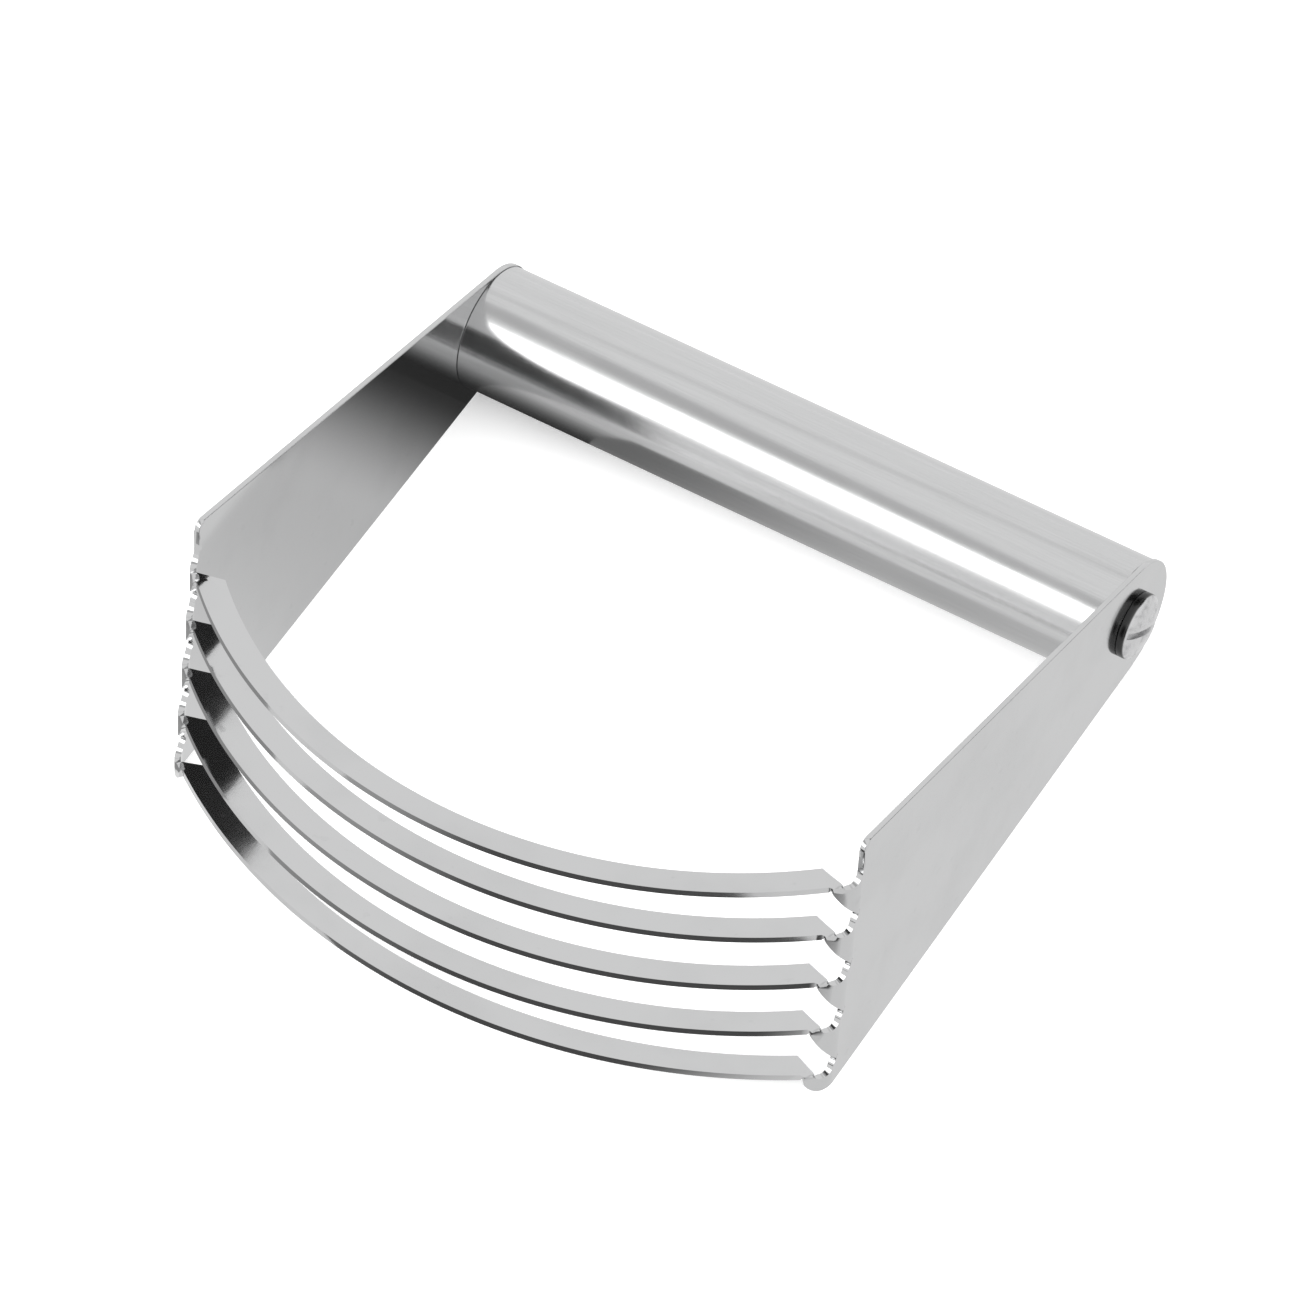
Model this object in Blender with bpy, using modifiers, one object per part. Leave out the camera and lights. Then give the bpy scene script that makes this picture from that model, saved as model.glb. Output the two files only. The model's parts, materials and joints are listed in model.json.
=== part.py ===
"""Pastry blender: five folded blades in a one-piece sheet frame, with a tube handle on two screws.

The object lies on the straight lower edges of its two side plates. X runs along the handle, +Y
from the blades towards the handle, and Z is up. Each piece is drawn in the tool's own frame first
(handle axis at the origin, blades at -Y, blades stacked along Z) and then laid down.
"""
import math

import bmesh
import bpy
from mathutils import Matrix, Vector

MM = 0.001

# one-piece frame of stamped sheet
SHEET = 0.9 * MM
FRAME_WIDTH = 108.0 * MM
PLATE_END_RADIUS = 9.7 * MM
PLATE_TAPER = 0.16
PLATE_CORNER_RADIUS = 1.4 * MM
PIVOT_HOLE_RADIUS = 2.35 * MM

# blades, counted from the top one
BLADE_COUNT = 5
BLADE_PITCH = 8.7 * MM
TOP_BLADE_LEVEL = 14.5 * MM
BLADE_WIDTH = 4.0 * MM
BLADE_DROOP = 0.45 * MM
BLADE_DEPTHS = (99.7 * MM, 99.2 * MM, 100.0 * MM, 100.4 * MM, 99.3 * MM)
TOP_BLADE_ROOT = 77.0 * MM
ROOT_STEP = 1.0 * MM
BLADE_STATIONS = 22

# bent root of each blade
BEND_RADIUS = 3.0 * MM
FOLD_START = 2.6 * MM
FOLD_END = 4.4 * MM
FLAT_FULL = 4.7 * MM
TOP_SHOULDER = 16.6 * MM
SLOT_TIPS = (8.2 * MM, -0.8 * MM, -9.6 * MM, -18.4 * MM)
NECK_SPAN = 1.8 * MM
NECK_STEPS = 7
LAST_ROOT_STRAIGHT = 1.9 * MM
LAST_ROOT_RELIEF = 0.08 * MM
WEB_ROWS = 4

# handle
TUBE_RADIUS = 9.5 * MM
TUBE_WALL = 1.0 * MM
RUNNING_GAP = 0.3 * MM
PLUG_LENGTH = 9.0 * MM
PLUG_RADIUS = TUBE_RADIUS - TUBE_WALL - RUNNING_GAP
PLUG_BORE_RADIUS = 2.3 * MM
SCREW_RADIUS = 2.0 * MM
SCREW_LENGTH = 9.5 * MM
HEAD_RADIUS = 5.0 * MM
HEAD_HEIGHT = 2.1 * MM
HEAD_EDGE = 0.6 * MM
DRIVER_SLOT_WIDTH = 1.0 * MM
DRIVER_SLOT_DEPTH = 1.0 * MM
ROUND_STEPS = 64

PLATE_X = (FRAME_WIDTH - SHEET) / 2
PLATE_FACE_X = FRAME_WIDTH / 2
TAPER_ANGLE = math.atan(PLATE_TAPER)
LAY_DOWN = Matrix.Rotation(-TAPER_ANGLE, 4, "X")

STEEL_FINISHES = {
    "polished_sheet": ((0.56, 0.57, 0.58, 1.0), 0.28),
    "brushed_tube": ((0.52, 0.53, 0.54, 1.0), 0.36),
    "bright_screw": ((0.60, 0.60, 0.61, 1.0), 0.22),
    "turned_plug": ((0.45, 0.46, 0.47, 1.0), 0.40),
}


def clear_scene():
    """Remove everything that the scene starts with."""
    for old in list(bpy.data.objects):
        bpy.data.objects.remove(old, do_unlink=True)


def new_collection(name):
    """Add a collection to the scene."""
    collection = bpy.data.collections.new(name)
    bpy.context.scene.collection.children.link(collection)
    return collection


def steel(name):
    """Make one steel finish."""
    colour, roughness = STEEL_FINISHES[name]
    material = bpy.data.materials.new(name)
    material.use_nodes = True
    shader = material.node_tree.nodes["Principled BSDF"]
    shader.inputs["Base Color"].default_value = colour
    shader.inputs["Metallic"].default_value = 1.0
    shader.inputs["Roughness"].default_value = roughness
    return material


def add_piece(name, mesh, collection, material, smooth_angle=35.0):
    """Link a named piece with its finish and smooth shading up to an edge angle."""
    mesh.name = name
    piece = bpy.data.objects.new(name, mesh)
    collection.objects.link(piece)
    if material is not None:
        mesh.materials.append(material)
    mesh.shade_smooth()
    mesh.set_sharp_from_angle(angle=math.radians(smooth_angle))
    return piece


def blade_level(index):
    """Height of a blade's outer edge in the stack."""
    return TOP_BLADE_LEVEL - index * BLADE_PITCH


class BladePath:
    """Plan of one blade's outer edge: a small bend out of the plate, then one big arc."""

    def __init__(self, index):
        half_chord = PLATE_X
        rise = BLADE_DEPTHS[index] - (TOP_BLADE_ROOT + index * ROOT_STEP)
        self.radius = (half_chord ** 2 + rise ** 2) / (2 * rise)
        self.centre = BLADE_DEPTHS[index] - self.radius
        inner = self.radius - BEND_RADIUS
        bend_x = PLATE_X - BEND_RADIUS
        self.start = self.centre + math.sqrt(inner ** 2 - bend_x ** 2)
        self.turn = math.atan2(self.start - self.centre, bend_x)
        self.bend_length = BEND_RADIUS * self.turn
        self.length = self.bend_length + self.radius * (math.pi / 2 - self.turn)

    def at(self, distance):
        """Point on the path as (x, reach) with the outward direction there."""
        if distance <= self.bend_length:
            angle = distance / BEND_RADIUS
            base = (PLATE_X - BEND_RADIUS, self.start)
            radius = BEND_RADIUS
        else:
            angle = self.turn + (distance - self.bend_length) / self.radius
            base = (0.0, self.centre)
            radius = self.radius
        out = (math.cos(angle), math.sin(angle))
        return (base[0] + radius * out[0], base[1] + radius * out[1]), out


def edge_height(reach):
    """Half width of a side plate at a distance from the handle axis."""
    return PLATE_END_RADIUS / math.cos(TAPER_ANGLE) + PLATE_TAPER * reach


def web_top(index, distance):
    """Upper edge of a blade's root, which drops in a quarter ellipse to the blade's level."""
    start = TOP_SHOULDER if index == 0 else SLOT_TIPS[index - 1]
    along = min(distance / NECK_SPAN, 1.0)
    drop = 1.0 - math.sqrt(max(0.0, 1.0 - (1.0 - along) ** 2))
    return blade_level(index) + (start - blade_level(index)) * drop


def web_bottom(index, distance, path):
    """Lower edge of a blade's root, which climbs from the slot to the blade's level."""
    level = blade_level(index)
    if index < BLADE_COUNT - 1:
        along = min(distance / FOLD_END, 1.0)
        depth = level - SLOT_TIPS[index]
        return level - depth * (1.0 - along) ** 0.8
    straight = min(distance, LAST_ROOT_STRAIGHT)
    relief = LAST_ROOT_RELIEF * straight / LAST_ROOT_STRAIGHT
    foot = relief - edge_height(path.at(straight)[0][1])
    if distance <= LAST_ROOT_STRAIGHT:
        return foot
    across = min((distance - LAST_ROOT_STRAIGHT) / (FOLD_END - LAST_ROOT_STRAIGHT), 1.0)
    return level + (foot - level) * math.sqrt(max(0.0, 1.0 - across ** 2))


def sheet_point(path, distance, inward, height):
    """Point of the sheet's middle surface in the tool frame."""
    (x, reach), out = path.at(distance)
    return Vector((x - out[0] * inward, -(reach - out[1] * inward), height))


def add_blade_half(bm, index):
    """Add the root and half the length of one blade, and return its root vertices, top first."""
    path = BladePath(index)
    level = blade_level(index)
    turns = [math.pi / 2 * step / NECK_STEPS for step in range(NECK_STEPS + 1)]
    web_distances = [NECK_SPAN * (1.0 - math.cos(turn)) for turn in turns] + [FOLD_START]
    fold_distances = [FOLD_START + (FOLD_END - FOLD_START) * step / 3 for step in (1, 2, 3)]
    columns = []
    for distance in web_distances + fold_distances[:-1]:
        top = web_top(index, distance) if distance < FOLD_START else level
        bottom = web_bottom(index, distance, path)
        column = []
        for row in range(WEB_ROWS + 1):
            height = top + (bottom - top) * row / WEB_ROWS
            column.append(bm.verts.new(sheet_point(path, distance, 0.0, height)))
        columns.append(column)
    for left, right in zip(columns, columns[1:]):
        for row in range(WEB_ROWS):
            bm.faces.new((left[row], left[row + 1], right[row + 1], right[row]))
    nose = bm.verts.new(sheet_point(path, FOLD_END, 0.0, level))
    last = columns[-1]
    for row in range(WEB_ROWS):
        bm.faces.new((last[row], last[row + 1], nose))

    fold_column = len(web_distances) - 1
    outer = [columns[fold_column][0], columns[fold_column + 1][0], columns[fold_column + 2][0], nose]
    distances = [FOLD_START] + fold_distances
    run = path.length - FLAT_FULL
    for step in range(BLADE_STATIONS + 1):
        distances.append(FLAT_FULL + run * step / BLADE_STATIONS)
    previous = None
    for station, distance in enumerate(distances):
        opening = min((distance - FOLD_START) / (FLAT_FULL - FOLD_START), 1.0)
        if station < len(outer):
            edge = outer[station]
        else:
            edge = bm.verts.new(sheet_point(path, distance, 0.0, level))
        if station == 0:
            row = [edge, edge, edge]
        else:
            row = [edge]
            for part in (0.5, 1.0):
                inward = BLADE_WIDTH * opening * part
                height = level - BLADE_DROOP * opening * part
                row.append(bm.verts.new(sheet_point(path, distance, inward, height)))
        if previous is not None:
            for near, far in ((0, 1), (1, 2)):
                corners = [previous[near], row[near], row[far], previous[far]]
                unique = list(dict.fromkeys(corners))
                if len(unique) > 2:
                    bm.faces.new(unique)
        previous = row
    return columns[0], path.start


def arc_points(centre, radius, start, end, count):
    """Points on an arc in the plate's plane, as (reach, height)."""
    points = []
    for step in range(count + 1):
        angle = start + (end - start) * step / count
        points.append((centre[0] + radius * math.cos(angle), centre[1] + radius * math.sin(angle)))
    return points


def plate_outline():
    """Outline of a side plate from its upper front corner, round the handle, to the lower edge."""
    front = BladePath(0).start
    corner_reach = front - PLATE_CORNER_RADIUS
    corner_height = edge_height(corner_reach) - PLATE_CORNER_RADIUS / math.cos(TAPER_ANGLE)
    upright = math.pi / 2 + TAPER_ANGLE
    points = arc_points((corner_reach, corner_height), PLATE_CORNER_RADIUS, 0.0, upright, 8)
    points += arc_points((0.0, 0.0), PLATE_END_RADIUS, upright, 2 * math.pi - upright, 36)
    return points


def add_plate(bm, roots, last_start):
    """Fill the flat side plate between its outline, the blade roots and the pivot hole."""
    outline = [bm.verts.new((PLATE_X, -reach, height)) for reach, height in plate_outline()]
    front = []
    for column in roots:
        for vert in column:
            if not front or (vert.co - front[-1].co).length > 1e-7:
                front.append(vert)
    loop = outline + front[::-1]
    hole = []
    for reach, height in arc_points((0.0, 0.0), PIVOT_HOLE_RADIUS, 0.0, 2 * math.pi, 32)[:-1]:
        hole.append(bm.verts.new((PLATE_X, -reach, height)))
    edges = []
    for ring in (loop, hole):
        for near, far in zip(ring, ring[1:] + ring[:1]):
            edge = bm.edges.get((near, far))
            if edge is None:
                edge = bm.edges.new((near, far))
            edges.append(edge)
    bmesh.ops.triangle_fill(bm, use_beauty=True, use_dissolve=False, edges=edges)


def build_frame_mesh():
    """Middle surface of the right half of the one-piece frame."""
    bm = bmesh.new()
    roots = []
    start = 0.0
    for index in range(BLADE_COUNT):
        column, start = add_blade_half(bm, index)
        if roots:
            tip = roots[-1][-1]
            middle = (tip.co + column[0].co) / 2
            tip.co = middle
            column[0].co = middle
        roots.append(column)
    bmesh.ops.remove_doubles(bm, verts=bm.verts, dist=1e-6)
    roots = collect_roots(bm)
    add_plate(bm, [roots], start)
    bmesh.ops.recalc_face_normals(bm, faces=bm.faces)
    mesh = bpy.data.meshes.new("blade_frame")
    bm.to_mesh(mesh)
    bm.free()
    return mesh


def collect_roots(bm):
    """Vertices on the bend lines, from the upper shoulder to the lower edge."""
    verts = [vert for vert in bm.verts if abs(vert.co.x - PLATE_X) < 1e-7]
    return sorted(verts, key=lambda vert: -vert.co.z)


def build_frame(collection, material):
    """Build the frame: half sheet, mirrored and given the sheet's thickness."""
    frame = add_piece("blade_frame", build_frame_mesh(), collection, material)
    mirror = frame.modifiers.new("Both sides", "MIRROR")
    mirror.use_axis = (True, False, False)
    mirror.use_clip = True
    mirror.merge_threshold = 0.00001
    solidify = frame.modifiers.new("Sheet", "SOLIDIFY")
    solidify.thickness = SHEET
    solidify.offset = 0.0
    return frame


def turned_mesh(name, profile):
    """Turn a closed profile of (radius, length) points about the handle axis."""
    bm = bmesh.new()
    verts = [bm.verts.new((radius, 0.0, length)) for radius, length in profile]
    pairs = zip(verts, verts[1:] + verts[:1])
    for near, far in pairs:
        if near.co.x > 1e-9 or far.co.x > 1e-9:
            bm.edges.new((near, far))
    mesh = bpy.data.meshes.new(name)
    bm.to_mesh(mesh)
    bm.free()
    blank = bpy.data.objects.new(name + "_blank", mesh)
    bpy.context.scene.collection.objects.link(blank)
    screw = blank.modifiers.new("Turn", "SCREW")
    screw.angle = 2 * math.pi
    screw.steps = ROUND_STEPS
    screw.render_steps = ROUND_STEPS
    screw.use_merge_vertices = True
    screw.merge_threshold = 0.00001
    screw.use_normal_calculate = True
    graph = bpy.context.evaluated_depsgraph_get()
    turned = bpy.data.meshes.new_from_object(blank.evaluated_get(graph), depsgraph=graph)
    bpy.data.objects.remove(blank, do_unlink=True)
    bm = bmesh.new()
    bm.from_mesh(turned)
    bmesh.ops.remove_doubles(bm, verts=bm.verts, dist=1e-6)
    bmesh.ops.recalc_face_normals(bm, faces=bm.faces)
    bm.transform(Matrix.Rotation(math.pi / 2, 4, "Y"))
    bm.to_mesh(turned)
    bm.free()
    return turned


def mirrored(mesh):
    """Mirror a mesh to the left side and keep its faces outward."""
    copy = mesh.copy()
    copy.transform(Matrix.Scale(-1.0, 4, (1.0, 0.0, 0.0)))
    copy.flip_normals()
    return copy


def build_tube(collection, material):
    """Build the handle tube with softened ends."""
    half = PLATE_X - SHEET / 2 - RUNNING_GAP
    inner = TUBE_RADIUS - TUBE_WALL
    ease = 0.25 * MM
    profile = [
        (inner, half),
        (TUBE_RADIUS - ease, half),
        (TUBE_RADIUS, half - ease),
        (TUBE_RADIUS, -half + ease),
        (TUBE_RADIUS - ease, -half),
        (inner, -half),
    ]
    return add_piece("handle_tube", turned_mesh("handle_tube", profile), collection, material)


def plug_mesh():
    """Turned plug in the right end of the tube, bored for the screw."""
    end = PLATE_X - SHEET / 2 - RUNNING_GAP
    start = end - PLUG_LENGTH
    ease = 0.5 * MM
    profile = [
        (PLUG_BORE_RADIUS, end),
        (PLUG_RADIUS - ease, end),
        (PLUG_RADIUS, end - ease),
        (PLUG_RADIUS, start + ease),
        (PLUG_RADIUS - ease, start),
        (PLUG_BORE_RADIUS, start),
    ]
    return turned_mesh("handle_plug", profile)


def screw_profile():
    """Outline of the right screw: domed head outside the plate, shank through it into the plug."""
    seat = PLATE_FACE_X + RUNNING_GAP
    rim = seat + HEAD_EDGE
    dome = HEAD_HEIGHT - HEAD_EDGE
    profile = [(0.0, seat + HEAD_HEIGHT)]
    for step in range(1, 9):
        angle = math.pi / 2 * step / 8
        radius = HEAD_RADIUS * math.sin(angle)
        profile.append((radius, rim + dome * math.cos(angle)))
    tip = PLATE_FACE_X - SCREW_LENGTH
    profile += [
        (HEAD_RADIUS, seat + 0.15 * MM),
        (HEAD_RADIUS - 0.15 * MM, seat),
        (SCREW_RADIUS, seat),
        (SCREW_RADIUS, tip + 0.6 * MM),
        (SCREW_RADIUS - 0.6 * MM, tip),
        (0.0, tip),
    ]
    return profile


def slotted_screw_mesh(cutters, slot_angle):
    """Turned screw with its driver slot cut across the head."""
    blank = bpy.data.objects.new("screw_blank", turned_mesh("screw_blank", screw_profile()))
    bpy.context.scene.collection.objects.link(blank)
    top = PLATE_FACE_X + RUNNING_GAP + HEAD_HEIGHT
    bpy.ops.mesh.primitive_cube_add(size=1.0)
    cutter = bpy.context.active_object
    cutter.name = "driver_slot_cutter"
    for owner in list(cutter.users_collection):
        owner.objects.unlink(cutter)
    cutters.objects.link(cutter)
    shape = Matrix.Diagonal((2 * DRIVER_SLOT_DEPTH, DRIVER_SLOT_WIDTH, 3 * HEAD_RADIUS, 1.0))
    turn = Matrix.Rotation(slot_angle, 4, "X")
    cutter.data.transform(Matrix.Translation((top, 0.0, 0.0)) @ turn @ shape)
    cutter.hide_render = True
    cutter.display_type = "WIRE"
    cut = blank.modifiers.new("Driver slot", "BOOLEAN")
    cut.operation = "DIFFERENCE"
    cut.solver = "EXACT"
    cut.object = cutter
    graph = bpy.context.evaluated_depsgraph_get()
    slotted = bpy.data.meshes.new_from_object(blank.evaluated_get(graph), depsgraph=graph)
    bpy.data.objects.remove(blank, do_unlink=True)
    return slotted


def lay_down(frame, turning):
    """Lay the tool on the lower edges of its plates and centre it over the floor's origin."""
    frame.data.transform(LAY_DOWN)
    graph = bpy.context.evaluated_depsgraph_get()
    reaches = [corner[1] for corner in frame.evaluated_get(graph).bound_box]
    middle = (min(reaches) + max(reaches)) / 2
    shift = Matrix.Translation((0.0, -middle, PLATE_END_RADIUS))
    frame.data.transform(shift)
    for piece in turning:
        piece.data.transform(shift @ LAY_DOWN)
    return shift @ LAY_DOWN


def set_joint_origin(piece, axis_point):
    """Put a turning piece's origin on the handle axis."""
    piece.data.transform(Matrix.Translation(-axis_point))
    piece.location = axis_point


def main():
    """Build every piece of the pastry blender."""
    clear_scene()
    collection = new_collection("pastry_blender")
    cutters = new_collection("cutters")
    finishes = {name: steel(name) for name in STEEL_FINISHES}

    frame = build_frame(collection, finishes["polished_sheet"])
    tube = build_tube(collection, finishes["brushed_tube"])
    plug = plug_mesh()
    plug_right = add_piece("handle_plug_right", plug, collection, finishes["turned_plug"])
    plug_left = add_piece("handle_plug_left", mirrored(plug), collection, None)
    screw = slotted_screw_mesh(cutters, math.radians(58.0))
    screw_right = add_piece("handle_screw_right", screw, collection, finishes["bright_screw"])
    screw_left = add_piece("handle_screw_left", mirrored(screw), collection, None)

    turning = [tube, plug_right, plug_left, screw_right, screw_left]
    placed = lay_down(frame, turning)
    for piece in turning:
        set_joint_origin(piece, placed @ Vector((0.0, 0.0, 0.0)))


main()
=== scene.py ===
"""Looks of the pastry blender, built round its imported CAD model.

Lengths are in metres. X runs along the handle, +Y from the blades to the handle, and Z is up.
"""

import json
import logging
import math
from collections.abc import Callable, Mapping, Sequence
from dataclasses import dataclass, field
from enum import Enum
from typing import Union

import bmesh
import bpy
from mathutils import Matrix, Vector

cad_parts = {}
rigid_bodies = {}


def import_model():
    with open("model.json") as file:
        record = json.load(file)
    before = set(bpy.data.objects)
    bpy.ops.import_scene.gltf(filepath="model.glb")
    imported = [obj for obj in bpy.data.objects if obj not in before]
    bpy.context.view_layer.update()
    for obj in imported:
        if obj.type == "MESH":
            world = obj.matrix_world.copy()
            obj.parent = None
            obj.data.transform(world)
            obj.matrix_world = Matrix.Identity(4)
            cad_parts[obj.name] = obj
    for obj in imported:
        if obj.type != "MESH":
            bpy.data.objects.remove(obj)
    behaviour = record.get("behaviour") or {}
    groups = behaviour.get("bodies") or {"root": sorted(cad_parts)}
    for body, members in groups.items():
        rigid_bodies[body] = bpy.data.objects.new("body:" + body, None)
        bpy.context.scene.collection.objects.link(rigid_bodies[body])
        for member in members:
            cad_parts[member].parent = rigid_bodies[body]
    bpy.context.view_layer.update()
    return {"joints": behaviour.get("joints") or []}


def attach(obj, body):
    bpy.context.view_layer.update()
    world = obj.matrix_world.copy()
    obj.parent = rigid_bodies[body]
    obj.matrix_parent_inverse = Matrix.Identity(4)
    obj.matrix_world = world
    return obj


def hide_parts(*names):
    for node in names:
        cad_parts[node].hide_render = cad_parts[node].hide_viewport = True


log = logging.getLogger("pastry_blender")

MM = 0.001
FULL_TURN = 2.0 * math.pi
QUARTER_TURN = 0.5 * math.pi
WELD = 1e-6
DOWN = None


def grey(level: float) -> tuple[float, float, float, float]:
    """Opaque grey."""
    return (level, level, level, 1.0)


class Body(Enum):
    """CAD bodies that the pieces ride on."""

    FRAME = "frame"
    HANDLE = "handle"


class Side(Enum):
    """End of the handle, as the sign of its X."""

    LEFT = -1
    RIGHT = 1

    @property
    def word(self) -> str:
        """Name of the side in a piece's name."""
        return self.name.lower()


class Grain(Enum):
    """Stretch of a pattern, small along the way in which its marks run."""

    ALONG_HANDLE = (0.02, 1.0, 1.0)
    ALONG_PLATE = (1.0, 0.05, 1.0)
    HAIRLINE = (0.06, 1.0, 1.0)
    THROUGH_SHEET = (1.0, 1.0, 0.25)
    ROUND_HANDLE = (0.0, 1.0, 1.0)


Operand = Union["Signal", float]
Value = Union["Signal", float, Sequence[float]]


class Signal:
    """Output of a shader node that takes part in arithmetic."""

    def __init__(self, graph: "Graph", socket: bpy.types.NodeSocket) -> None:
        """Wrap a socket.

        Args:
            graph: Node tree that the socket is in.
            socket: Output socket to wrap.
        """
        self.graph = graph
        self.socket = socket

    def _with(self, operation: str, first: Operand, second: Operand) -> "Signal":
        """Add a Math node.

        Args:
            operation: Operation of the Math node.
            first: Value of its first socket.
            second: Value of its second socket.

        Returns:
            The node's output.
        """
        return self.graph.node("ShaderNodeMath", {"operation": operation}, {0: first, 1: second})

    def __add__(self, other: Operand) -> "Signal":
        """Sum with a value on the right."""
        return self._with("ADD", self, other)

    def __radd__(self, other: Operand) -> "Signal":
        """Sum with a value on the left."""
        return self._with("ADD", other, self)

    def __sub__(self, other: Operand) -> "Signal":
        """Difference from a value on the right."""
        return self._with("SUBTRACT", self, other)

    def __rsub__(self, other: Operand) -> "Signal":
        """Difference from a value on the left."""
        return self._with("SUBTRACT", other, self)

    def __mul__(self, other: Operand) -> "Signal":
        """Product with a value on the right."""
        return self._with("MULTIPLY", self, other)

    def __rmul__(self, other: Operand) -> "Signal":
        """Product with a value on the left."""
        return self._with("MULTIPLY", other, self)


class Graph:
    """Node tree of one finish, round its Principled shader."""

    def __init__(self, name: str) -> None:
        """Start a material.

        Args:
            name: Name of the material.
        """
        self.material = bpy.data.materials.new(name)
        self.material.use_nodes = True
        self.tree = self.material.node_tree
        self.shader = self.tree.nodes["Principled BSDF"]

    def node(
        self,
        kind: str,
        settings: Mapping[str, object] | None = None,
        inputs: Mapping[int | str, Value] | None = None,
        output: int | str = 0,
    ) -> Signal:
        """Add a node.

        Args:
            kind: Type of the node.
            settings: Properties of the node, which are set before its inputs.
            inputs: Values or links of its sockets, by index or name.
            output: Socket to give back, by index or name.

        Returns:
            The chosen output.
        """
        made = self.tree.nodes.new(kind)
        for key, setting in (settings or {}).items():
            setattr(made, key, setting)
        for key, value in (inputs or {}).items():
            self.feed(made.inputs[key], value)
        return Signal(self, made.outputs[output])

    def feed(self, socket: bpy.types.NodeSocket, value: Value) -> None:
        """Link a signal to an input socket, or set its value.

        Args:
            socket: Input socket.
            value: Signal or constant.
        """
        if isinstance(value, Signal):
            self.tree.links.new(value.socket, socket)
        else:
            socket.default_value = value

    def finish(self, **inputs: Value) -> bpy.types.Material:
        """Feed the shader's sockets, where an underscore in a name stands for a space.

        Args:
            inputs: Values or links of the shader's sockets.

        Returns:
            The finished material.
        """
        for key, value in inputs.items():
            self.feed(self.shader.inputs[key.replace("_", " ")], value)
        return self.material

    def place(self, scale: Sequence[float] = (1.0, 1.0, 1.0)) -> Signal:
        """Position on the piece.

        Args:
            scale: Stretch along each axis.

        Returns:
            The stretched position.
        """
        here = self.node("ShaderNodeTexCoord", output="Object")
        stretch = {"operation": "MULTIPLY"}
        return self.node("ShaderNodeVectorMath", stretch, {0: here, 1: tuple(scale)})

    def noise(self, place: Signal, size: float, detail: float = 3.0, rough: float = 0.5) -> Signal:
        """Soft random pattern.

        Args:
            place: Position on the piece.
            size: Size of the pattern's patches in metres.
            detail: Number of finer layers.
            rough: Weight of the finer layers.

        Returns:
            A value about 0.5.
        """
        inputs = {"Vector": place, "Scale": 1.0 / size, "Detail": detail, "Roughness": rough}
        return self.node("ShaderNodeTexNoise", None, inputs, "Fac")

    def step(self, value: Signal, low: float, high: float) -> Signal:
        """Smooth step from 0 to 1.

        Args:
            value: Value to map.
            low: Value that gives 0.
            high: Value that gives 1.

        Returns:
            The stepped value.
        """
        settings = {"interpolation_type": "SMOOTHSTEP"}
        inputs = {"Value": value, "From Min": low, "From Max": high}
        return self.node("ShaderNodeMapRange", settings, inputs)

    def blend(self, mask: Operand, first: Value, second: Value) -> Signal:
        """Mix two colours.

        Args:
            mask: Share of the second colour.
            first: Colour where the mask is 0.
            second: Colour where the mask is 1.

        Returns:
            The mixed colour.
        """
        settings = {"data_type": "RGBA"}
        return self.node("ShaderNodeMix", settings, {0: mask, 6: first, 7: second}, 2)

    def relief(self, height: Signal, depth: float) -> Signal:
        """Normal of a fine relief.

        Args:
            height: Height pattern from 0 to 1.
            depth: Height in metres that 1 stands for.

        Returns:
            The bumped normal.
        """
        return self.node("ShaderNodeBump", None, {"Height": height, "Distance": depth}, "Normal")


@dataclass(frozen=True)
class RolledSheet:
    """Bright stainless sheet, with a faint roll, fine marks and finger smudges."""

    bright: tuple[float, float, float, float] = (0.59, 0.592, 0.595, 1.0)
    dull: tuple[float, float, float, float] = (0.54, 0.542, 0.545, 1.0)
    gloss: float = 0.06
    haze: float = 0.05

    def dress(self) -> bpy.types.Material:
        """Make the finish.

        Returns:
            The material.
        """
        graph = Graph("rolled_stainless_sheet")
        here = graph.place()
        marks = graph.noise(graph.place(Grain.ALONG_PLATE.value), 0.5 * MM, 4.0, 0.6)
        smudge = graph.step(graph.noise(here, 16 * MM, 3.0, 0.55), 0.42, 0.72)
        speck = graph.step(graph.noise(here, 2.2 * MM, 2.0, 0.5), 0.66, 0.76)
        roll = graph.noise(here, 24 * MM, 1.0, 0.4)
        tone = graph.blend(smudge * 0.6 + speck * 0.4, self.bright, self.dull)
        rough = self.gloss + smudge * self.haze + marks * 0.03 + speck * 0.05
        height = roll * 0.97 + marks * 0.03
        normal = graph.relief(height, 0.05 * MM)
        return graph.finish(Base_Color=tone, Metallic=1.0, Roughness=rough, Normal=normal)


@dataclass(frozen=True)
class ShearedEdge:
    """Cut edge of the sheet: a bright sheared band over a duller fractured one, whose near-black
    tone is partly real and partly painted shade for the dark line along the cut edges.
    """

    bright: tuple[float, float, float, float] = (0.50, 0.505, 0.51, 1.0)
    # Near black: partly the duller fractured steel, partly painted shade for the dark line along
    # the cut edges.
    torn_and_shade: tuple[float, float, float, float] = (0.20, 0.20, 0.205, 1.0)

    def dress(self) -> bpy.types.Material:
        """Make the finish.

        Returns:
            The material.
        """
        graph = Graph("sheared_stainless_edge")
        across = graph.noise(graph.place(Grain.THROUGH_SHEET.value), 0.45 * MM, 4.0, 0.65)
        patch = graph.noise(graph.place(), 3.0 * MM, 2.0, 0.5)
        torn_and_shade = graph.step(across * 0.6 + patch * 0.4, 0.40, 0.62)
        # Painted shade in part: the fractured patches take the near-black tone.
        tone = graph.blend(torn_and_shade, self.bright, self.torn_and_shade)
        normal = graph.relief(across, 0.05 * MM)
        return graph.finish(
            Base_Color=tone, Metallic=1.0, Roughness=0.26 + torn_and_shade * 0.22, Normal=normal
        )


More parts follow.
